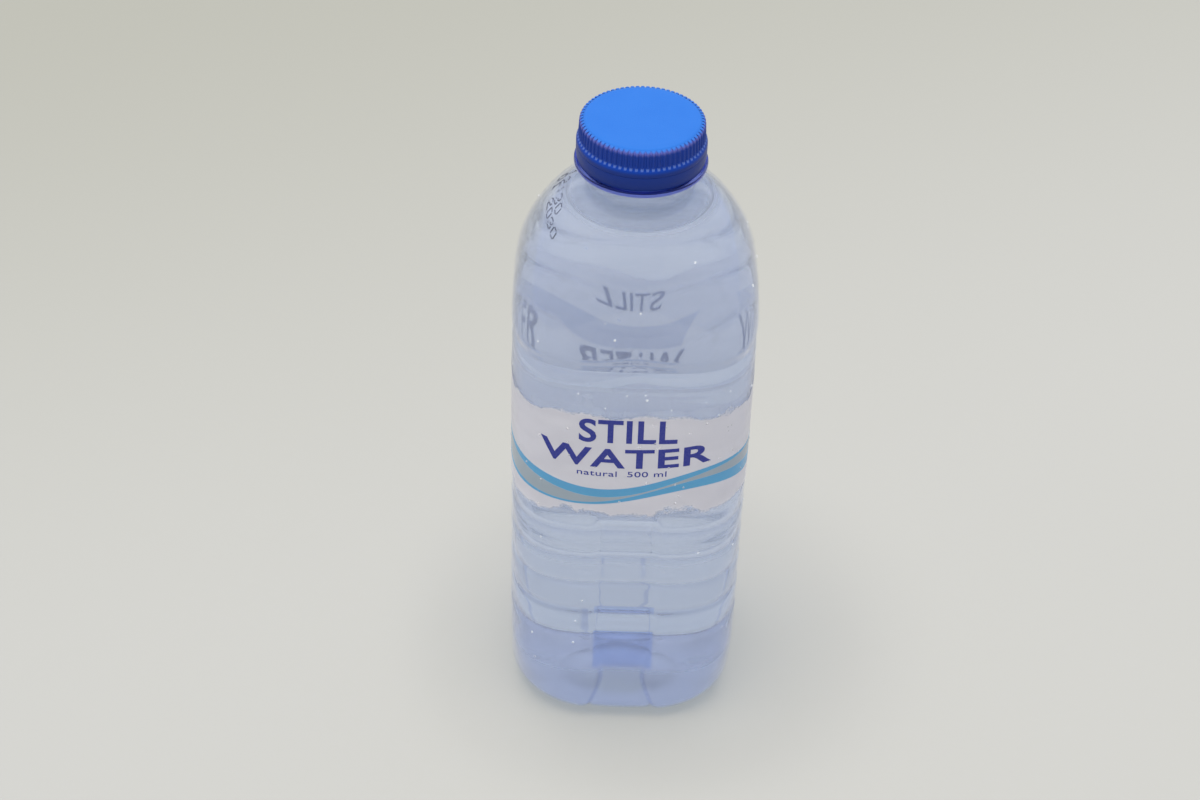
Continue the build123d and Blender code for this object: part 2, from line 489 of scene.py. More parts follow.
def footHalf(height):
    # half the width of a face's strip: an hourglass at the foot, straight above it
    return np.interp(height, *zip(*form["footLine"]))


def groove(distance, width):
    return np.where(abs(distance) < width, 0.5 + 0.5 * np.cos(pi * distance / width), 0)


def skinRelief(x, y, z, underside):
    # how far ribs, waist, face strips and foot grooves press the skin in, in mm
    side = np.minimum(abs(x), abs(y))
    out = np.maximum(abs(x), abs(y))
    depth = np.zeros_like(x)
    for index, height in enumerate(ribHeights):
        size = form["ribDepth"] if index < form["boldRibs"] else form["faintDepth"]
        depth = depth + size * groove(z - height, form["ribWidth"])
    waist = form["waist"] + form["waistLift"] * np.exp(-(side / form["liftWidth"]) ** 2)
    depth = depth + form["waistDepth"] * groove(z - waist, form["waistWidth"])
    half = np.where(underside, np.interp(out, *zip(*form["baseLine"])), footHalf(z))
    softness = 0.5 + 0.9 * ease(z, 34, 42)
    strip = 1 - ease(side, half - softness, half + softness)
    strip = strip * (1 - ease(z, form["stripTop"] - 0.8, form["stripTop"] + 0.4))
    fadeOut = np.where(underside, ease(out, 17, 23), 1)
    depth = depth + form["stripDepth"] * strip * fadeOut
    beside = groove(side - half, form["footWidth"]) * (1 - ease(z, 17, 23))
    beside = beside * np.where(underside, ease(out, 13, 18), 1)
    return depth + form["footDepth"] * beside


def bodyRing(half, height, power, tilt, inset):
    # one ring of the skin; tilt is the normal's angle below the horizon
    radius = sectionRadius(half, power)
    x = radius * np.cos(columns)
    y = radius * np.sin(columns)
    z = np.full_like(x, height)
    normalX, normalY = sectionNormal(power)
    pressed = skinRelief(x, y, z, tilt > steepest)
    x = x - normalX * cos(tilt) * pressed
    y = y - normalY * cos(tilt) * pressed
    z = z + sin(tilt) * pressed
    if tilt > steepest:
        # the middle of the base is pushed up in a dome
        sphere = (form["domeRadius"] ** 2 + form["domeRise"] ** 2) / (2 * form["domeRise"])
        reach = np.hypot(x, y)
        dome = form["domeRise"] - sphere + np.sqrt(np.maximum((sphere + inset) ** 2 - reach ** 2, 0))
        z = np.maximum(z, dome)
    return np.stack([x, y, z], 1) * mm


def powerAt(height):
    # the section is rounder at the foot
    low = form["footCorner"] / halfWidth
    high = form["corner"] / halfWidth
    return squarePower(low + (high - low) * float(ease(height, 0, form["footRise"])))


def shoulderPower(share):
    # share is 0 at the waist and 1 at the root of the neck
    low = form["corner"] / halfWidth
    return squarePower(low + (form["neckCorner"] - low) * float(ease(share, 0, form["roundShare"])))


def shoulderHalf(share, inset, topRadius):
    full = halfWidth + form["bulge"] - inset - topRadius
    return topRadius + full * (1 - share ** form["swell"]) ** form["close"]


shoulderShares = np.concatenate([
    np.linspace(0, 0.12, 9),
    np.linspace(0.12, 0.8, 18)[1:],
    [0.84, 0.88, 0.915, 0.945, 0.97, 0.985, 0.995, 1],
])


def bodyRings(inset, top=None):
    # rings from the middle of the base to the root of the neck, or up to a level
    heel = form["heel"]
    flat = halfWidth - heel
    rings = [np.array([[0, 0, bodyRing(0.01, inset, 2, pi / 2, inset)[0][2]]])]
    for half in denseSteps(1.5, flat, 20, [form["domeRadius"]], 1.5, 2.0):
        power = 2 + (powerAt(0) - 2) * float(ease(half, form["domeRadius"] - 1, flat))
        rings.append(bodyRing(half, inset, power, pi / 2, inset))
    for turn in np.linspace(pi / 2, 0, 13)[1:]:
        height = heel - (heel - inset) * sin(turn)
        half = flat + (heel - inset) * cos(turn)
        rings.append(bodyRing(half, height, powerAt(height), min(turn, steepest), inset))
    for height in denseSteps(heel, form["waist"], 118, ribHeights + [form["waist"]], 1.7, 4.0)[1:-1]:
        rings.append(bodyRing(halfWidth - inset, height, powerAt(height), 0, inset))
    topRadius = (form["neckRadius"] if inset == 0 else form["boreRadius"]) - form["neckStep"]
    rise = form["neckBase"] - form["waist"]
    shares = shoulderShares
    if top is not None:
        topShare = (top - form["waist"]) / rise
        shares = [share for share in shares if form["waist"] + share * rise <= top] + [topShare]
    for share in shares:
        half = shoulderHalf(share, inset, topRadius)
        rings.append(bodyRing(half, form["waist"] + share * rise, shoulderPower(share), 0, inset))
    return rings


thread = {
    "starts": 3,
    "lead": 7.5,
    "turn": 150.0,         # degrees that each start runs round
    "crest": 0.8,
    "root": 1.25,
    "top": 0.6,
    "fade": 14.0,
    "middle": bandLow.z / mm + 6.2,
}


def threadRelief(height, angles, offset):
    # 0-1 height of the screw thread at a level, for each angle
    rise = thread["lead"] * thread["turn"] / 360
    ridge = np.zeros(len(angles))
    for start in range(thread["starts"]):
        along = np.degrees(angles - offset - start * 2 * pi / thread["starts"]) % 360
        centre = thread["middle"] - rise / 2 + thread["lead"] * along / 360
        slope = (thread["root"] / 2 - abs(height - centre)) / (thread["root"] / 2 - thread["top"] / 2)
        ends = np.minimum(along, thread["turn"] - along) / thread["fade"]
        ridge = np.maximum(ridge, np.clip(slope, 0, 1) * ease(ends, 0, 1))
    return ridge


pet = {
    "tint": (0.930, 0.957, 1.0, 1.0),
    # ringBlueReflection is a painted reflection of the blue band on the clear support ring
    "ringBlueReflection": (0.07, 0.11, 0.9, 1.0),
    "rough": (0.03, 0.10),
    "haze": 0.056,         # milky share of the skin
    "face": 0.045,         # reflection straight on
    "bendingIor": 1.575,
    "shadow": (0.895, 0.91, 0.93, 1.0),
    "neckShadow": (0.96, 0.98, 1.0, 1.0),
}


def clearPet():
    graph = Graph("clear_pet")
    place = graph.place()
    uneven = graph.noise(place, 60.0, 2.0)
    fine = graph.noise(place, 900.0, 2.0)
    bump = graph.bump(uneven + fine * 0.06, 0.25, 0.002)
    facing = graph.node("LayerWeight", None, {"Blend": 0.5, "Normal": bump}, "Facing")
    mirror = pet["face"] + facing ** 5.0 * (1 - pet["face"])
    veil = graph.range(uneven, 0.7, 1.3) * pet["haze"]
    shine = graph.principled({
        "Base Color": graph.blend(fine, (0.88, 0.89, 1.0, 1.0), (0.94, 0.94, 1.0, 1.0)),
        "Metallic": mirror / (mirror + veil),
        "Roughness": graph.range(uneven, *pet["rough"]),
        "Normal": bump,
    })
    skin = graph.mixed(mirror + veil, graph.clear(pet["tint"]), shine)
    return graph.finish(graph.letLightPass(skin, pet["shadow"]))


def thickPet(ringLow, ringHigh):
    # the neck's wall is thick enough to bend what is seen through it
    graph = Graph("thick_pet")
    place = graph.place()
    up = graph.part(place, 2)
    uneven = graph.noise(place, 150.0, 2.0)
    tone = graph.blend(uneven, (0.80, 0.91, 1.0, 1.0), (0.87, 0.95, 1.0, 1.0))
    # painted reflection of the blue band on the support ring
    onRing = graph.window(up, ringLow * mm, (ringLow + 0.5) * mm, ringHigh * mm, (ringHigh + 0.3) * mm)
    tone = graph.blend(onRing, tone, pet["ringBlueReflection"])
    bending = graph.principled({"Base Color": tone, "Roughness": graph.range(uneven, 0.12, 0.2),
                                "IOR": pet["bendingIor"], "Transmission Weight": 1.0})
    return graph.finish(graph.letLightPass(bending, pet["neckShadow"]))


neckForm = {
    "radius": 13.2,        # at the root of the thread
    "ringRadius": 16.5,
    "ringHeight": 1.1,
    "ringGap": 0.3,        # from the support ring up to the band
    "beadRadius": 14.2,
    "beadFoot": 2.4,       # the tamper bead, measured up from the ring
    "beadHead": 2.8,
    "beadTop": 3.7,
    "thickFrom": 5.2,      # above the root of the neck the wall bends light
    "threadRings": 19,
}


def makeBottle():
    outer = bodyRings(0)
    root = neckForm["radius"]
    ring = neckForm["ringRadius"]
    bead = neckForm["beadRadius"]
    bore = form["boreRadius"]
    ringTop = bandLow.z / mm - neckForm["ringGap"]
    ringBottom = ringTop - neckForm["ringHeight"]
    beadFoot = ringTop + neckForm["beadFoot"]
    beadTop = ringTop + neckForm["beadTop"]
    lip = bottleHigh.z / mm
    neckLine = roundedLine([
        (form["neckRadius"], form["neckBase"] + 0.6, 0),
        (form["neckRadius"], ringBottom - 0.5, 0.5),
        (ring, ringBottom, 0.4),
        (ring, ringTop, 0.4),
        (root, ringTop, 0.25),
        (root, beadFoot, 0.15),
        (bead, beadFoot, 0.1),
        (bead, ringTop + neckForm["beadHead"], 0.2),
        (root, beadTop, 0.1),
    ])
    neckLine += [(root, h) for h in np.linspace(beadTop + 0.2, lip - 0.5, neckForm["threadRings"])]
    neckLine += roundedLine([(root, lip - 0.4, 0), (root, lip, 0.3),
                             (bore, lip, 0.2), (bore, lip - 0.5, 0)])
    neckLine += [(bore, h) for h in np.linspace(lip - 1.5, form["neckBase"] + 0.5, 8)]

    def relief(across, up, angles):
        if abs(across - root) < 0.1 and up > beadTop:
            return thread["crest"] * threadRelief(up, angles, 0)
        return 0 * angles

    neck = [np.array(level) for level in spun(neckLine, columns, relief)]
    inner = bodyRings(form["wall"])[::-1]
    points, faces = skinOf(outer + neck + inner)
    piece = newPiece("bottle_clear_shell", points, faces, clearPet(), "bottle", 35)
    piece.data.materials.append(thickPet(ringBottom - 1.1, ringTop))
    thickFrom = form["neckBase"] + neckForm["thickFrom"]
    for polygon in piece.data.polygons:
        polygon.material_index = int(polygon.center.z > thickFrom * mm)
    return piece


bottle = makeBottle()
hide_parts("bottle_body")
print("bottle skin:", len(bottle.data.polygons), "faces")


water = {
    "tone": (0.95, 0.965, 1.0, 1.0),
    "deepTone": (0.90, 0.94, 1.0, 1.0),
    # painted shade along the ribs
    "ribShadeTone": (0.84, 0.865, 0.955, 1.0),
    # painted reflection: blue light bent through the foot, on the front strips
    "stripTone": (0.34, 0.51, 1.0, 1.0),
    # painted shade along the grooves beside the strips at the foot
    "lineTone": (0.55, 0.63, 0.88, 1.0),
    "meniscus": 0.9,
    "rough": 0.06,
    "footRough": 0.36,     # the thick moulded foot blurs what is behind it
    "topRough": 0.22,      # added just under the surface
    "deepTop": 50.0,       # mm up to where the deep tone reaches: bluer water lower down, partly thicker PET at the base and partly painted reflection of blue light
    "shadow": (0.98, 0.99, 1.0, 1.0),
    "blockSpan": (19.0, 21.0, 32.6, 33.4),  # painted blue block at the foot of the front strip, standing for blue light bent into view through the foot
    "barHeight": 41.0,     # and a thin painted bar above it
}


waterIor = 1.333


def stillWater():
    graph = Graph("still_water")
    place = graph.place()
    x, y, up = [graph.part(place, axis) * (1 / mm) for axis in range(3)]
    side = graph.pick("MINIMUM", graph.size(x), graph.size(y))
    # bluer towards the bottom: partly thicker PET at the base, partly painted reflection of blue light
    tone = graph.blend(graph.soft(up, 0.0, water["deepTop"]), water["deepTone"], water["tone"])

    # painted shade: the water is darker at the height of each rib groove
    step = (up - form["ribFirst"]) / form["ribPitch"]
    below = (step - graph.pick("ROUND", step)) * form["ribPitch"] + 0.5
    rib = (1 - graph.soft(graph.size(below), 0.2, 1.5)) * graph.window(up, 28.0, 30.0, 71.0, 74.0)
    tone = graph.blend(rib, tone, water["ribShadeTone"])

    # painted reflection on the front half only: blue block and bar on the strips
    block = graph.window(up, *water["blockSpan"])
    bar = 1 - graph.soft(graph.size(up - water["barHeight"]), 0.7, 1.5)
    onStrip = 1 - graph.soft(side, form["stripHalf"] - 0.4, form["stripHalf"])
    nearHalf = 1 - graph.soft(y, 0.0, 10.0)
    blue = onStrip * nearHalf * graph.pick("MAXIMUM", block, bar * 0.75)
    tone = graph.blend(blue, tone, water["stripTone"])

    # painted shade along the grooves beside the strips, up to the top of the foot
    widest = form["footLine"][0][1]
    narrowing = widest - form["footLine"][3][1]
    half = widest - graph.soft(up, 0.0, form["footLine"][3][0]) * narrowing
    line = (1 - graph.soft(graph.size(side - half), 0.2, 1.1)) * (1 - graph.soft(up, 18.0, 22.0))
    tone = graph.blend(line, tone, water["lineTone"])

    level = waterHigh.z / mm
    rough = water["footRough"] - graph.soft(up, 12.0, 30.0) * (water["footRough"] - water["rough"])
    rough = rough + graph.soft(up, level - 2.0, level - 0.5) * water["topRough"]
    bending = graph.principled({"Base Color": tone, "Roughness": rough, "IOR": waterIor,
                                "Transmission Weight": 1.0})
    return graph.finish(graph.letLightPass(bending, water["shadow"]))


def makeWater():
    level = waterHigh.z / mm
    rings = bodyRings(form["waterGap"], level)
    rim = rings[-1]
    for share in (0.985, 0.96, 0.92, 0.85, 0.7, 0.45, 0.2):
        ring = rim * np.array([share, share, 1])
        ring[:, 2] = (level - water["meniscus"] * (1 - share ** 22)) * mm
        rings.append(ring)
    rings.append(np.array([[0, 0, (level - water["meniscus"]) * mm]]))
    points, faces = skinOf(rings)
    return newPiece("still_water", points, faces, stillWater(), "bottle", 50)


waterPiece = makeWater()
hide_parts("water_fill")
print("water:", len(waterPiece.data.polygons), "faces")


labelBase = labelLow.z / mm
labelTop = labelHigh.z / mm
bodyPower = squarePower(form["corner"] / halfWidth)


def labelLoop(out):
    radius = sectionRadius(halfWidth, bodyPower)
    nx, ny = sectionNormal(bodyPower)
    return radius * np.cos(columns) + nx * out, radius * np.sin(columns) + ny * out


def loopLengths(x, y):
    # the way round a closed loop to each of its points and back to the first
    steps = np.hypot(np.diff(np.append(x, x[0])), np.diff(np.append(y, y[0])))
    return np.concatenate([[0], np.cumsum(steps)])


loopX, loopY = labelLoop(film["gap"] + film["thick"])
loopTravel = loopLengths(loopX, loopY)
loopLength = loopTravel[-1]

art = {
    "period": loopLength / 2,                 # the same picture on the front and the back
    "upper": (89.41, 2.69, 42.6, 2.07, 22.6), # middle, then size and place of two waves, mm
    "lower": (84.14, 3.50, 29.1, 1.72, 21.4),
    "panelTop": 108.8,
    "panelFoot": 77.0,
    "cyan": colour(84, 172, 222),
    "grey": colour(168, 182, 192),
    "white": colour(238, 234, 240),
    "ink": colour(24, 42, 150),
    "paleInk": colour(158, 165, 190),
    "backBandAlpha": 0.08,
    "clearAlpha": 0.07,
    "whiteAlpha": 0.85,
    "backAlpha": 0.34,
    "bandAlpha": 0.97,
    "boxAlpha": 0.5,
    "veilAlpha": 0.14,     # the film's unprinted inside
    "clearTone": colour(205, 215, 235),
    "boxTone": colour(120, 160, 215),
    "boxHalf": 11.0,       # a tinted box on the back, its half width and its heights
    "boxLow": 95.2,
    "boxHigh": 99.6,
    "speckTone": colour(150, 165, 190),
    "tornTop": 12.0,       # how far the panel's edges wander, mm
    "tornFoot": 14.0,
    "edgeAt": 4.5,         # width of the film's overlap, and how much it adds
    "edgeAlpha": 0.04,
    "lineSoft": 0.15,
}


def printedFilm():
    graph = Graph("label_film")
    flat = graph.place("UV")
    along = graph.part(flat, 0) * loopLength - loopLength / 2
    up = graph.part(flat, 1) * (labelTop - labelBase) + labelBase
    u = graph.node("Math", {"operation": "WRAP"}, {0: along, 1: -art["period"] / 2, 2: art["period"] / 2})
    paper = graph.node("CombineXYZ", None, {0: u * 0.1, 1: up * 0.1, 2: 0.0})

    def swing(place, turns=1):
        return graph.pick("COSINE", (u - place) * (2 * pi * turns / art["period"]))

    def wave(middle, size, place, size2, place2):
        return swing(place) * size + swing(place2, 2) * size2 + middle

    def between(low, high, edge):
        return graph.soft(up - low, -edge, edge) * (1 - graph.soft(up - high, -edge, edge))

    upperTop = wave(*art["upper"])
    lowerTop = wave(*art["lower"])
    upperFoot = upperTop - (swing(-12.0) * 1.0 + 1.75)
    lowerFoot = lowerTop - (2.2 - swing(-16.0) * 1.5)
    thin = art["lineSoft"]
    cyan = graph.pick("MAXIMUM", between(upperFoot, upperTop, thin), between(lowerFoot, lowerTop, thin))
    grey = between(lowerTop, upperFoot, thin)
    bands = graph.node("Math", {"operation": "MAXIMUM", "use_clamp": True}, {0: cyan, 1: grey})
    torn = graph.noise(paper, 0.9, 6.0, 0.62)
    panelTop = art["panelTop"] + (torn - 0.5) * art["tornTop"]
    panelFoot = art["panelFoot"] + (graph.noise(paper, 0.7, 5.0, 0.6) - 0.5) * art["tornFoot"]
    panel = between(panelFoot, panelTop, 0.7)
    far = graph.size(along)
    overlap = loopLength / 2 - art["edgeAt"]
    edgeStrip = graph.soft(far, overlap - 0.1, overlap + 0.1)
    back = graph.soft(far, loopLength / 4 - 3, loopLength / 4 + 3)
    aside = loopLength / 2 - far
    inBox = 1 - graph.soft(aside, art["boxHalf"], art["boxHalf"] + 0.3)
    box = inBox * between(art["boxLow"], art["boxHigh"], 0.2)
    tone = graph.blend(panel, art["clearTone"], art["white"])
    tone = graph.blend(box, tone, art["boxTone"])
    tone = graph.blend(grey, tone, art["grey"])
    tone = graph.blend(cyan, tone, art["cyan"])
    speck = graph.noise(flat, 700.0, 1.0)
    tone = graph.blend(graph.range(speck, 0.0, 0.12), tone, art["speckTone"])
    sheer = art["whiteAlpha"] + back * (art["backAlpha"] - art["whiteAlpha"])
    alpha = art["clearAlpha"] + panel * (sheer - art["clearAlpha"])
    alpha = alpha + box * (art["boxAlpha"] - alpha)
    solid = art["bandAlpha"] + back * (art["backBandAlpha"] - art["bandAlpha"])
    alpha = alpha + bands * (solid - alpha)
    alpha = alpha + edgeStrip * art["edgeAlpha"] * (1 - alpha)
    ripple = graph.noise(paper, 0.8, 2.0)
    bump = graph.bump(ripple, 0.2, 0.002)
    return graph.paint({"Base Color": tone, "Alpha": alpha, "Normal": bump,
                        "Roughness": graph.range(ripple, 0.16, 0.32),
                        "Specular IOR Level": 0.5})


def filmInside():
    graph = Graph("label_film_inside")
    cloud = graph.noise(graph.place(), 80.0, 3.0)
    tone = graph.blend(cloud, colour(196, 200, 216), colour(214, 216, 228))
    return graph.paint({"Base Color": tone, "Alpha": art["veilAlpha"],
                        "Roughness": graph.range(cloud, 0.3, 0.45)})


def makeLabel():
    heights = denseSteps(labelBase, labelTop, 56, ribHeights[5:], 1.6, 2.0)

    def ring(out, height):
        x, y = labelLoop(out)
        nx, ny = sectionNormal(bodyPower)
        dip = film["dip"] * sum(groove(height - rib, 1.8) for rib in ribHeights)
        return np.stack([x - nx * dip, y - ny * dip, np.full_like(x, height)], 1) * mm

    outer = [ring(film["gap"] + film["thick"], h) for h in heights]
    inner = [ring(film["gap"], h) for h in heights[::-1]]
    points, faces = skinOf(outer + inner, loop=True)
    piece = newPiece("label_sleeve", points, faces, printedFilm(), "bottle", 30)
    layer = piece.data.uv_layers.new(name="UVMap")
    count = len(columns)
    piece.data.materials.append(filmInside())
    for polygon in piece.data.polygons:
        polygon.material_index = int(len(outer) <= polygon.index // count < len(outer) + len(inner) - 1)
    travel = loopTravel / loopLength
    vertices = piece.data.vertices
    uv = np.zeros((len(piece.data.loops), 2))
    for polygon in piece.data.polygons:
        spots = [piece.data.loops[k].vertex_index for k in polygon.loop_indices]
        cols = [spot % count for spot in spots]
        wraps = max(cols) - min(cols) > count / 2
        for k, spot, col in zip(polygon.loop_indices, spots, cols):
            share = travel[count] if wraps and col == 0 else travel[col]
            uv[k] = (share, (vertices[spot].co.z / mm - labelBase) / (labelTop - labelBase))
    layer.data.foreach_set("uv", uv.ravel())
    return piece


label = makeLabel()
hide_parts("label")
print("label film:", len(label.data.polygons), "faces")


def onLabel(u, v, out):
    # a point u mm to the right of the front's middle, at height v mm, out mm off the film
    travel = (u + loopLength / 2) % loopLength
    spotX = np.interp(travel, loopTravel, np.append(loopX, loopX[0]))
    spotY = np.interp(travel, loopTravel, np.append(loopY, loopY[0]))
    angle = atan2(spotY, spotX)
    nx, ny = sectionNormal(bodyPower, np.array([angle]))
    return ((spotX + nx[0] * out) * mm, (spotY + ny[0] * out) * mm, v * mm)


def inkMaterial(name, ink):
    graph = Graph(name)
    speck = graph.noise(graph.place(), 1500.0, 2.0)
    tone = graph.blend(speck * 0.08, ink, art["white"])
    return graph.paint({"Base Color": tone, "Roughness": graph.range(speck, 0.25, 0.4),
                        "Specular IOR Level": 0.25})


wordKeys = ("side", "text", "u", "v", "height", "bold", "spread", "bend")
wordRows = [
    ("front", "STILL", -1.1, 100.5, 7.0, 0.09, 1.02, 0.3),
    ("front", "WATER", -1.5, 92.2, 5.9, 0.09, 1.42, 2.2),
    ("front", "natural  500 ml", -2.2, 89.2, 1.75, 0.02, 1.4, 0.5),
    ("back", "STILL", 0.0, 102.4, 3.0, 0.05, 1.1, 0.0),
    ("back", "WATER", 0.0, 90.4, 4.2, 0.06, 1.1, 0.0),
]
words = [dict(zip(wordKeys, row)) for row in wordRows]
lettering = {
    "capShare": 0.69,      # height of a capital over the size of the font
    "boldShare": 0.35,
    "spacing": 1.06,
    "slice": 0.6,          # mm between cuts
    "out": 0.03,           # how far the print stands off the film, and reaches into it
    "sunk": 0.02,
}


def makeWords():
    inks = {"front": inkMaterial("label_ink", art["ink"]),
            "back": inkMaterial("label_ink_pale", art["paleInk"])}
    pieces = []
    for number, word in enumerate(words):
        font = bpy.data.curves.new("word", "FONT")
        font.body = word["text"]
        font.align_x = "CENTER"
        font.size = word["height"] / lettering["capShare"]
        font.offset = word["bold"] * word["height"] * lettering["boldShare"]
        font.resolution_u = 5
        font.space_character = lettering["spacing"]
        holder = bpy.data.objects.new("word", font)
        scene.collection.objects.link(holder)
        flat = evaluatedMesh(holder)
        bpy.data.objects.remove(holder)
        sliceFlat(flat, lettering["slice"])
        spots = [(v.co.x, v.co.y) for v in flat.vertices]
        loops = [tuple(p.vertices) for p in flat.polygons]
        turn = 0 if word["side"] == "front" else loopLength / 2
        points, faces = thickenFlat(spots, loops, word, turn)
        ink = inks[word["side"]]
        pieces.append(newPiece(f"label_word_{number + 1}", points, faces, ink, "bottle", 30))
    return pieces


def sliceFlat(flat, step):
    # cuts across a flat outline, so that it can follow a curved face
    cutter = bmesh.new()
    cutter.from_mesh(flat)
    bmesh.ops.remove_doubles(cutter, verts=cutter.verts, dist=1e-5)
    for axis in (0, 1):
        reach = [v.co[axis] for v in cutter.verts]
        across = Vector((1, 0, 0)) if axis == 0 else Vector((0, 1, 0))
        for place in np.arange(min(reach) + step, max(reach), step * (1 + axis)):
            everything = cutter.verts[:] + cutter.edges[:] + cutter.faces[:]
            bmesh.ops.bisect_plane(cutter, geom=everything, plane_co=across * float(place),
                                   plane_no=across, dist=1e-5)
    cutter.to_mesh(flat)
    cutter.free()


def thickenFlat(spots, loops, word, turn):
    # a flat outline to a thin closed print on the film
    reach = max(abs(x) for x, y in spots)

    def lift(out):
        lifted = []
        for x, y in spots:
            bend = word["bend"] * (x / reach) ** 2
            lifted.append(onLabel(x * word["spread"] + word["u"] + turn, y + word["v"] + bend, out))
        return lifted

    count = len(spots)
    points = lift(lettering["out"]) + lift(-lettering["sunk"])
    faces = [tuple(face) for face in loops] + [tuple(count + k for k in reversed(face)) for face in loops]
    edges = dict.fromkeys((a, b) for face in loops for a, b in zip(face, face[1:] + face[:1]))
    for a, b in edges:
        if (b, a) not in edges:
            faces.append((b, a, count + a, count + b))
    return points, faces


for piece in makeWords():
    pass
print("label print ready")


drops = {
    "low": 0.14,           # radii in mm
    "high": 0.40,
    "flat": 0.55,          # height over radius
    "seed": 11,
    "glass": 0.66,         # how much of a drop lets light through
    "shadow": (1.0, 1.0, 1.0, 1.0),
    "density": {"drops_shoulder": 5200.0, "drops_label": 17000.0, "drops_lower": 3600.0},  # for each m2
}


def dropWater():
    graph = Graph("drop_water")
    tone = graph.blend(graph.noise(graph.place(), 300.0), (0.95, 0.97, 1.0, 1.0), (1.0, 1.0, 1.0, 1.0))
    bending = graph.principled({"Base Color": tone, "Roughness": 0.02, "IOR": waterIor,
                                "Transmission Weight": drops["glass"]})
    return graph.finish(graph.letLightPass(bending, drops["shadow"]))


def dropTree():
    # Geometry Nodes: small flattened drops scattered over a surface
    tree, keys, inputs = newTree("drop_scatter", {
        "Surface": "Geometry", "Density": "Float", "Seed": "Int", "Smallest": "Float",
        "Largest": "Float", "Flatness": "Float", "Finish": "Material"})
    scatter = treeNode(tree, "GeometryNodeDistributePointsOnFaces", Mesh=inputs["Surface"],
                       Density=inputs["Density"], Seed=inputs["Seed"])
    ball = treeNode(tree, "GeometryNodeMeshUVSphere")
    ball.inputs["Segments"].default_value = 8
    ball.inputs["Rings"].default_value = 5
    ball.inputs["Radius"].default_value = 1.0
    size = tree.nodes.new("FunctionNodeRandomValue")
    tree.links.new(inputs["Smallest"], size.inputs[2])
    tree.links.new(inputs["Largest"], size.inputs[3])
    tree.links.new(inputs["Seed"], size.inputs["Seed"])
    radius = size.outputs[1]
    height = treeMath(tree, "MULTIPLY", radius, inputs["Flatness"])
    scale = treeNode(tree, "ShaderNodeCombineXYZ", X=radius, Y=radius, Z=height)
    copies = treeNode(tree, "GeometryNodeInstanceOnPoints", Points=scatter.outputs["Points"],
                      Instance=ball.outputs[0], Rotation=scatter.outputs["Rotation"],
                      Scale=scale.outputs[0])
    finishTree(tree, copies, inputs["Finish"])
    return tree, keys


def makeDrops():
    tree, keys = dropTree()
    finish = dropWater()
    outer = bodyRings(0)

    def between(low, high):
        return [ring for ring in outer if low * mm < ring[0][2] < high * mm]

    sleeveHeights = np.linspace(labelBase + 1, labelTop - 1, 12)
    wet = {
        "drops_shoulder": between(form["waist"] + 5, form["neckBase"] - 8),
        "drops_label": [np.stack([loopX, loopY, np.full_like(loopX, h)], 1) * mm for h in sleeveHeights],
        "drops_lower": between(12, labelBase - 3),
    }
    for number, (name, rings) in enumerate(wet.items()):
        points, faces = skinOf(rings)
        start = bpy.data.meshes.new(name + "_start")
        start.from_pydata([tuple(p) for p in points], [], faces)
        values = {"Density": drops["density"][name], "Seed": drops["seed"] + number,
                  "Smallest": drops["low"] * mm, "Largest": drops["high"] * mm,
                  "Flatness": drops["flat"], "Finish": finish}
        piece = runTree(name, tree, keys, values, start)
        piece.data.shade_smooth()
        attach(piece, "bottle")
        print(name, len(piece.data.polygons), "faces")


makeDrops()


code = {
    "rows": ("01 2030", "12:30"),
    "heights": (156.0, 157.7),
    "slants": (0.108, 0.086),  # how far a row drops for each degree round
    "start": 163.0,        # degrees round from the right-hand side
    "pitch": 0.39,         # mm between dots
    "advance": 6.6,        # dots from one character to the next
    "slope": 0.73,         # rise for each mm up the shoulder
    "dot": 0.19,
    "thick": 0.06,
    "sides": 8,
    "ink": colour(44, 46, 66),
    "paleInk": colour(88, 92, 116),
}
dotDigits = {
    "0": "01110 10001 10001 10001 10001 10001 01110",
    "1": "00100 01100 00100 00100 00100 00100 01110",
    "2": "01110 10001 00001 00110 01000 10000 11111",
    "3": "01110 10001 00001 00110 00001 10001 01110",
    ":": "00000 00100 00100 00000 00100 00100 00000",
    " ": "00000 00000 00000 00000 00000 00000 00000",
}


def onShoulder(angle, height):
    # a point of the bottle's skin between waist and neck, in mm
    share = (height - form["waist"]) / (form["neckBase"] - form["waist"])
    half = shoulderHalf(share, 0, form["neckRadius"] - form["neckStep"])
    across = sectionRadius(half, shoulderPower(share), np.array([angle]))[0]
    return np.array([across * cos(angle), across * sin(angle), height])


def inkDotTree():
    # Geometry Nodes: a thin disc on every point, flat on the surface
    tree, keys, inputs = newTree("ink_dots", {
        "Points": "Geometry", "Radius": "Float", "Thickness": "Float", "Finish": "Material"})
    disc = treeNode(tree, "GeometryNodeMeshCylinder", Radius=inputs["Radius"], Depth=inputs["Thickness"])
    disc.inputs["Vertices"].default_value = code["sides"]
    outward = treeNode(tree, "GeometryNodeInputNamedAttribute")
    outward.data_type = "FLOAT_VECTOR"
    outward.inputs["Name"].default_value = "outward"
    turn = treeNode(tree, "FunctionNodeAlignRotationToVector", Vector=outward.outputs[0])
    turn.axis = "Z"
    copies = treeNode(tree, "GeometryNodeInstanceOnPoints", Points=inputs["Points"],
                      Instance=disc.outputs[0], Rotation=turn.outputs[0])
    finishTree(tree, copies, inputs["Finish"])
    return tree, keys


def codeDots(text, height, slant):
    # angle and height of each dot of a row, slanting down round the shoulder
    angle = radians(code["start"])
    step = code["pitch"] / onShoulder(angle, height)[:2].dot([cos(angle), sin(angle)])
    for character in text:
        for row, bits in enumerate(dotDigits[character].split()):
            up = height + (3 - row) * code["pitch"] * code["slope"]
            for column, bit in enumerate(bits):
                if bit == "1":
                    yield angle + column * step, up - slant * degrees(column * step)
        angle += code["advance"] * step
        height -= slant * degrees(code["advance"] * step)


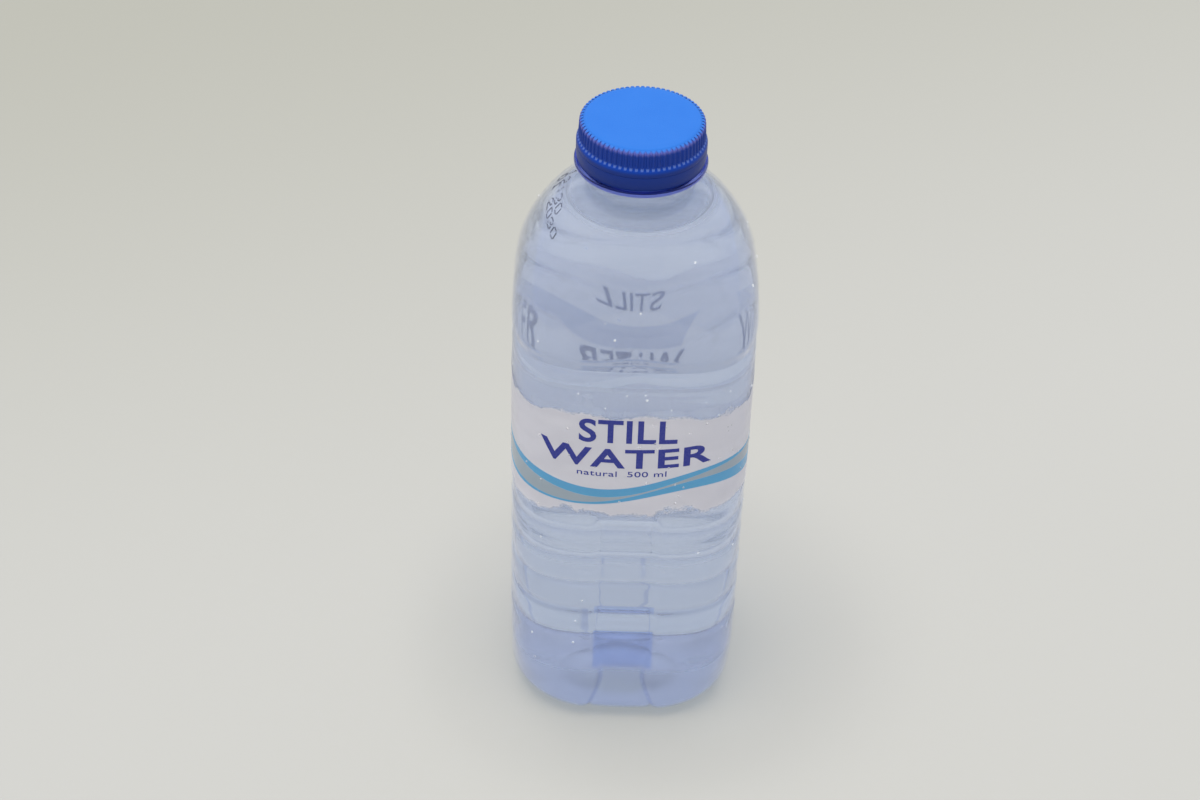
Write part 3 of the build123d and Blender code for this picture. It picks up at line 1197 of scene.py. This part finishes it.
def makeCode():
    # a made-up code of ink dots round the shoulder
    spots = []
    outward = []
    for text, startHeight, slant in zip(code["rows"], code["heights"], code["slants"]):
        for angle, height in codeDots(text, startHeight, slant):
            spot = onShoulder(angle, height)
            along = onShoulder(angle + 0.01, height) - spot
            rise = onShoulder(angle, height + 0.1) - spot
            normal = np.cross(along, rise)
            spots.append(tuple(spot * mm))
            outward.append(normal / np.linalg.norm(normal))
    start = bpy.data.meshes.new("code_start")
    start.from_pydata(spots, [], [])
    directions = start.attributes.new("outward", "FLOAT_VECTOR", "POINT")
    directions.data.foreach_set("vector", np.ravel(outward))
    graph = Graph("code_ink")
    fade = graph.noise(graph.place(), 700.0, 2.0)
    tone = graph.blend(graph.soft(fade, 0.4, 0.65), code["ink"], code["paleInk"])
    roughness = graph.range(fade, 0.4, 0.6)
    finish = graph.paint({"Base Color": tone, "Roughness": roughness})
    tree, keys = inkDotTree()
    values = {"Radius": code["dot"] * mm, "Thickness": code["thick"] * mm, "Finish": finish}
    piece = runTree("code_dots", tree, keys, values, start)
    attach(piece, "bottle")
    print("code dots:", len(piece.data.polygons), "faces")


makeCode()


cap = {
    "outer": capHigh.x / mm - 0.95,
    "bore": 14.15,
    "mouth": 14.6,         # radius of the opening, and of the small step just inside it
    "mouthStep": 14.35,
    "dish": 10.5,          # the crown is flat from here out and sinks a little inside
    "dishDepth": 0.06,
    "edge": 0.95,
    "cone": 0.2,           # the knurled wall is this much wider at its foot
    "flare": 0.95,
    "flareHigh": 0.9,
    "skirt": 1.3,
    "sides": 180,
    "threadRings": 19,
    "knurls": 72,
    "knurlHeight": 0.30,
    "knurlWidth": 0.86,
    "knurlRoot": -0.25,
    # painted light by height: the top tones are the crown as lit from above, edgeTone is a painted pinkish
    # highlight on the bevel, wallTone and skirtTone are painted shade down the sides
    "topTone": colour(42, 104, 190),
    "topTone2": colour(36, 97, 184),
    "edgeTone": colour(92, 98, 178),
    "tipHighlightTone": colour(92, 120, 200),      # painted highlight on the lower ends of the ridges, where they meet the flare
    "wallTone": colour(14, 58, 156),
    "skirtTone": colour(12, 50, 138),
    "rough": (0.34, 0.46),
    "tipHeight": -4.9,     # under the crown
    "edgeSpan": (-0.75, -0.1),              # heights where one tone passes to the next
    "wallSpan": (-1.6, -0.6),
    "skirtSpan": (-6.6, -5.0),
    "gripTipHighlight": 0.85,
}


def bluePlastic(name, highlightShare):
    graph = Graph(name)
    place = graph.place()
    cloud = graph.noise(place, 120.0, 3.0)
    grain = graph.noise(place, 3500.0, 2.0)
    up = graph.part(place, 2) * (1 / mm) - capHigh.z / mm
    tone = graph.blend(cloud, cap["topTone"], cap["topTone2"])
    # painted light and shade by height: lit crown, painted highlight on the bevel, painted shade on the
    # wall and skirt
    for zone in ("edge", "wall", "skirt"):
        tone = graph.blend(graph.soft(up, *cap[zone + "Span"]), cap[zone + "Tone"], tone)
    # painted highlight: a lighter band on the ridge ends just above the flare
    tips = 1 - graph.soft(graph.size(up - cap["tipHeight"]), 0.15, 0.5)
    tone = graph.blend(tips * highlightShare, tone, cap["tipHighlightTone"])
    bump = graph.bump(grain + cloud * 0.4, 0.12, 0.0004)
    return graph.paint({"Base Color": tone, "Roughness": graph.range(cloud, *cap["rough"]),
                        "Normal": bump, "Specular IOR Level": 0.25})


def knurlRing(name, ridge, count, material):
    # Geometry Nodes: a ridge repeated round the axis
    tree, keys, inputs = newTree(name + "_ring", {"Count": "Int", "Ridge": "Object", "Finish": "Material"})
    circle = treeNode(tree, "GeometryNodeMeshCircle", Vertices=inputs["Count"])
    circle.inputs["Radius"].default_value = 0.0
    step = treeMath(tree, "DIVIDE", 2 * pi, inputs["Count"])
    number = treeNode(tree, "GeometryNodeInputIndex").outputs[0]
    spin = treeNode(tree, "ShaderNodeCombineXYZ", Z=treeMath(tree, "MULTIPLY", number, step))
    shape = treeNode(tree, "GeometryNodeObjectInfo", Object=inputs["Ridge"])
    copies = treeNode(tree, "GeometryNodeInstanceOnPoints", Points=circle.outputs[0],
                      Instance=shape.outputs["Geometry"], Rotation=spin.outputs[0])
    finishTree(tree, copies, inputs["Finish"])
    return runTree(name, tree, keys, {"Count": count, "Ridge": ridge, "Finish": material})


def capWallRadius(height):
    # the plain wall behind the knurls, in mm
    foot = capLow.z / mm + cap["skirt"] + cap["flare"]
    top = capHigh.z / mm - cap["edge"]
    share = (top - height) / (top - foot)
    return cap["outer"] + cap["cone"] * share


def makeCap():
    top = capHigh.z / mm
    bottom = capLow.z / mm
    seat = linerHigh.z / mm
    foot = bottom + cap["skirt"]
    wide = cap["outer"] + cap["flare"]
    bore = cap["bore"]
    flareTop = foot + cap["flareHigh"]
    outside = roundedLine([
        (0, top - cap["dishDepth"], 0),
        (cap["dish"], top, 3.0),
        (cap["outer"] - cap["edge"], top, 0.5),
        (cap["outer"], top - cap["edge"], 0.6),
        (capWallRadius(flareTop), flareTop, 0.5),
        (wide, foot, 0.5),
        (wide, bottom, 0.05),
        (wide - 0.2, bottom, 0),
    ], 5)
    inside = roundedLine([(cap["mouth"], bottom, 0), (cap["mouthStep"], bottom, 0.1),
                          (bore, bottom + 0.6, 0.2), (bore, bottom + 0.7, 0)])
    threaded = [(bore, h) for h in np.linspace(bottom + 0.8, seat - 0.3, cap["threadRings"])]
    roof = roundedLine([(bore, seat - 0.25, 0), (bore, seat, 0.2), (13.0, seat, 0), (6.0, seat, 0),
                        (0, seat, 0)])
    angles = np.linspace(0, 2 * pi, cap["sides"], endpoint=False)

    def relief(across, up, around):
        if abs(across - bore) < 1e-6 and bottom + 0.75 < up < seat - 0.28:
            return -thread["crest"] * threadRelief(up, around, pi / 3)
        return 0 * around

    points, faces = skinOf(spun((outside + inside + threaded + roof)[::-1], angles, relief))
    return newPiece("cap_shell_moulded", points, faces, bluePlastic("blue_polyethylene", 0.0), "cap", 40)


def makeKnurlRidge():
    # one ridge of the cap's grip, its flank half sunk in the wall
    top = capHigh.z / mm
    foot = capLow.z / mm + cap["skirt"]
    lower = [(0.25, 0.55, 0.0), (0.55, 0.22, 0.6), (0.95, 0.0, 1.0), (2.2, 0.0, 1.0)]
    upper = [(1.5, 0.0, 1.0), (0.75, -0.02, 1.0), (0.42, -0.14, 0.9), (0.26, -0.3, 0.55), (0.16, -0.5, 0.1)]
    stations = [(foot + up, shift, size) for up, shift, size in lower]
    stations += [(top - down, shift, size) for down, shift, size in upper]
    half = cap["knurlWidth"] / 2
    rightSide = [(half * 0.45, 0.8), (half, 0.0), (half, cap["knurlRoot"])]
    profile = [(-side, out) for side, out in rightSide[::-1]] + [(0, 1.0)] + rightSide
    rings = []
    for height, shift, size in stations:
        plain = min(max(height, foot + cap["flareHigh"]), top - cap["edge"])
        wall = capWallRadius(plain) + shift
        tall = cap["knurlHeight"] * size
        rings.append([((wall + (out * tall if out > 0 else out)) * mm, side * mm, height * mm)
                      for side, out in profile])
    points, faces = skinOf(rings)
    ends = len(points) - len(profile)
    faces.append(tuple(reversed(range(len(profile)))))
    faces.append(tuple(range(ends, len(points))))
    ridge = bareObject("knurl_ridge", points, faces)
    ridge.data.shade_smooth()
    ridge.data.set_sharp_from_angle(angle=radians(50))
    return ridge


capShell = makeCap()
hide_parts("cap_shell")
ridge = makeKnurlRidge()
gripPlastic = bluePlastic("blue_polyethylene_grip", cap["gripTipHighlight"])
knurls = knurlRing("cap_knurls", ridge, cap["knurls"], gripPlastic)
bpy.data.objects.remove(ridge)
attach(knurls, "cap")
print("cap:", len(capShell.data.polygons), "faces, knurls:", len(knurls.data.polygons))


bandForm = {
    "outer": cap["outer"] + cap["flare"],
    "slit": 0.06,          # under the cap's skirt
    "wall": 0.75,
    "taper": 0.25,
    "hook": 14.0,          # radius of the hook that catches under the bead
    "hookFoot": 14.5,
    "bridges": 12,
    "bridgeHalf": 0.35,
}


def makeBand():
    bottom = bandLow.z / mm
    top = capLow.z / mm - bandForm["slit"]
    outer = bandForm["outer"]
    inner = outer - bandForm["wall"]
    line = roundedLine([
        (outer - 0.4, top, 0),
        (outer, top, 0.05),
        (outer, top - 2.2, 0.6),
        (outer - bandForm["taper"], bottom, 0.2),
        (bandForm["hookFoot"], bottom, 0.2),
        (bandForm["hook"], bottom + 0.66, 0.1),
        (bandForm["hook"], bottom + 1.1, 0.1),
        (inner, bottom + 1.5, 0.2),
        (inner, top, 0.1),
        (outer - 0.6, top, 0),
    ])
    angles = np.linspace(0, 2 * pi, cap["sides"], endpoint=False)
    points, faces = skinOf(spun(line[::-1], angles), loop=True)
    return newPiece("tamper_ring", points, faces, capShell.data.materials[0], "band", 40)


band = makeBand()
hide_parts("tamper_band")


def makeBridge():
    low = capLow.z / mm - 0.10
    high = capLow.z / mm - 0.01
    inside = bandForm["outer"] - 0.65
    outside = bandForm["outer"] - 0.1
    half = bandForm["bridgeHalf"]
    corners = [(inside, -half), (outside, -half), (outside, half), (inside, half)]
    waist = [(x, y * 0.8) for x, y in corners]
    rings = [[(x * mm, y * mm, z * mm) for x, y in shape]
             for shape, z in ((corners, low), (waist, (low + high) / 2), (corners, high))]
    points, faces = skinOf(rings)
    faces.append((3, 2, 1, 0))
    faces.append((8, 9, 10, 11))
    return bareObject("bridge", points, faces)


bridge = makeBridge()
bridges = knurlRing("band_bridges", bridge, bandForm["bridges"], capShell.data.materials[0])
bpy.data.objects.remove(bridge)
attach(bridges, "band")
print("tamper band:", len(band.data.polygons), "faces")


seal = {
    "tone": colour(222, 228, 236),
    "deepTone": colour(198, 208, 224),
    "channel": (12.3, 12.0, 11.6, 11.3),    # radii of a shallow ring pressed into its underside
    "channelDepth": 0.1,
    "sides": 96,
}


def sealMaterial():
    graph = Graph("seal_liner")
    place = graph.place()
    tone = graph.blend(graph.noise(place, 200.0, 3.0), seal["deepTone"], seal["tone"])
    bump = graph.bump(graph.noise(place, 2500.0, 2.0), 0.15, 0.0004)
    roughness = graph.range(graph.noise(place, 300.0), 0.4, 0.55)
    return graph.paint({"Base Color": tone, "Roughness": roughness, "Normal": bump})


def makeSeal():
    bottom = linerLow.z / mm
    top = linerHigh.z / mm
    edge = linerHigh.x / mm
    first, second, third, last = seal["channel"]
    line = roundedLine([
        (0, top, 0),
        (8, top, 0),
        (edge, top, 0.2),
        (edge, bottom, 0.2),
        (13.4, bottom, 0),
        (first, bottom, 0),
        (second, bottom + seal["channelDepth"], 0.1),
        (third, bottom + seal["channelDepth"], 0.1),
        (last, bottom, 0.1),
        (6, bottom, 0),
        (0, bottom, 0),
    ])
    angles = np.linspace(0, 2 * pi, seal["sides"], endpoint=False)
    points, faces = skinOf(spun(line[::-1], angles))
    return newPiece("seal_disc", points, faces, sealMaterial(), "seal", 40)


sealDisc = makeSeal()
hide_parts("cap_liner")
print("seal:", len(sealDisc.data.polygons), "faces")
